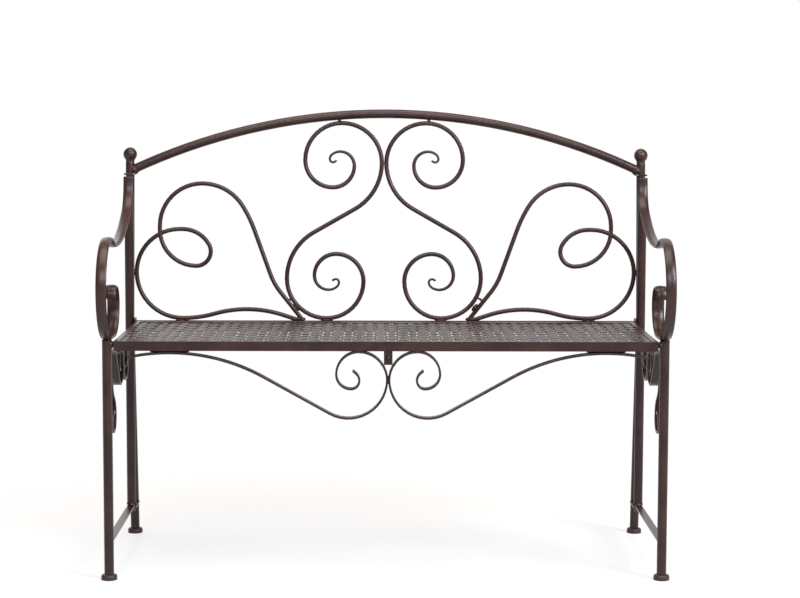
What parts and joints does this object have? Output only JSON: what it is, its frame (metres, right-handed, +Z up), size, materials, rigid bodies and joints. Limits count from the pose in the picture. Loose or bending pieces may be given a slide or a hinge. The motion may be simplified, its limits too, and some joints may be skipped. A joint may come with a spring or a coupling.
{
  "type": "garden bench",
  "caption": "Iron garden bench with an arched scrollwork back, scrolled arms, a woven strap seat that lifts on rear pivots, and round cap feet.",
  "frame": {"origin": "on the floor, at the middle of the bench's length and depth", "axes": "+X along the bench to the sitter's left as seen from the front (right in a front view), +Y to the back, +Z up"},
  "size_m": [1.07, 0.5232, 0.8784],
  "materials": {
    "painted_iron": "satin",
    "pin_steel": "brushed",
    "bush_nylon": "matte",
    "foot_cap": "matte"
  },
  "bodies": {
    "frame": {"hinge_bolts": "pin_steel", "hinge_bushes": "bush_nylon", "hinge_pins": "pin_steel", "left_arm_strap": "painted_iron", "left_back_post": "painted_iron", "left_back_scroll": "painted_iron", "left_bottom_lug": "painted_iron", "left_finial": "painted_iron", "left_front_foot": "foot_cap", "left_front_leg": "painted_iron", "left_front_volute": "painted_iron", "left_leg_curl": "painted_iron", "left_lower_loop": "painted_iron", "left_pivot_lug": "painted_iron", "left_rear_foot": "foot_cap", "left_rear_tube": "painted_iron", "left_rear_volute": "painted_iron", "left_side_stretcher": "painted_iron", "left_top_lug": "painted_iron", "left_upper_loop": "painted_iron", "lower_back_rail": "painted_iron", "pivot_bolts": "pin_steel", "right_arm_strap": "painted_iron", "right_back_post": "painted_iron", "right_back_scroll": "painted_iron", "right_bottom_lug": "painted_iron", "right_finial": "painted_iron", "right_front_foot": "foot_cap", "right_front_leg": "painted_iron", "right_front_volute": "painted_iron", "right_leg_curl": "painted_iron", "right_lower_loop": "painted_iron", "right_pivot_lug": "painted_iron", "right_rear_foot": "foot_cap", "right_rear_tube": "painted_iron", "right_rear_volute": "painted_iron", "right_side_stretcher": "painted_iron", "right_top_lug": "painted_iron", "right_upper_loop": "painted_iron", "scroll_spacers": "painted_iron", "seat_pegs": "painted_iron", "top_rail": "painted_iron"},
    "seat": {"seat_front_rail": "painted_iron", "seat_back_rail": "painted_iron", "left_seat_side_rail": "painted_iron", "right_seat_side_rail": "painted_iron", "seat_long_straps": "painted_iron", "seat_cross_straps": "painted_iron", "left_apron_scroll": "painted_iron", "right_apron_scroll": "painted_iron", "apron_tie_plate": "painted_iron", "tie_plate_rivet": "painted_iron"}
  },
  "joints": [
    {"name": "seat_lift", "type": "hinge", "parent": "frame", "child": "seat", "pos_m": [0, 0.1699, 0.441], "axis": [-1, 0, 0], "range_deg": [0, 95]}
  ]
}
